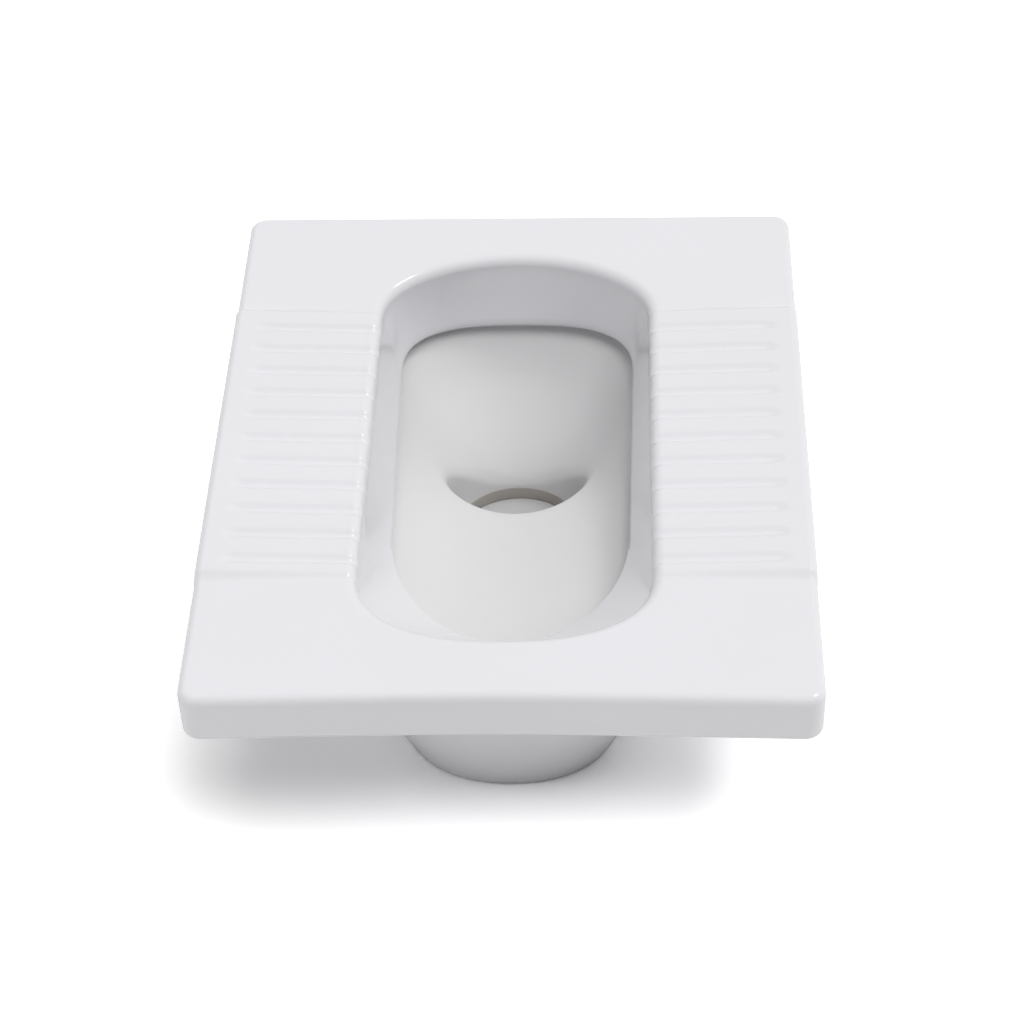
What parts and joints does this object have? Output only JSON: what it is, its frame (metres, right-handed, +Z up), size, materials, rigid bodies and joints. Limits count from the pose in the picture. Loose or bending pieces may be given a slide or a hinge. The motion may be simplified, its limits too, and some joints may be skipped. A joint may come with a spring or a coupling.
{
  "type": "squat toilet",
  "caption": "Glazed ceramic squat toilet pan: flat deck with ribbed foot treads, apron rim, scooped bowl, rear drain and a tapered standing base.",
  "frame": {"origin": "centre of the footprint on the floor, under the middle of the deck", "axes": "+Z up, +Y from the user's front edge to the drain end, +X to the right of a viewer at the front"},
  "size_m": [0.502, 0.61, 0.204],
  "materials": {
    "glazed_china": "gloss white glaze, faintly cool",
    "tread_glaze": "gloss white glaze over ribbed treads",
    "bowl_glaze": "gloss white glaze",
    "unglazed_china": "matt fired body with a thin glaze"
  },
  "bodies": {
    "root": {"deck": "glazed_china", "left_tread": "tread_glaze", "right_tread": "tread_glaze", "rim_apron": "glazed_china", "channel_floor": "bowl_glaze", "bowl": "bowl_glaze", "outlet_collar": "unglazed_china", "base_front": "glazed_china", "base_back": "glazed_china", "base_left": "glazed_china", "base_right": "glazed_china", "foot_ring": "unglazed_china", "flush_inlet": "unglazed_china", "flush_spreader": "bowl_glaze", "deck_ribs": "unglazed_china"}
  },
  "joints": []
}
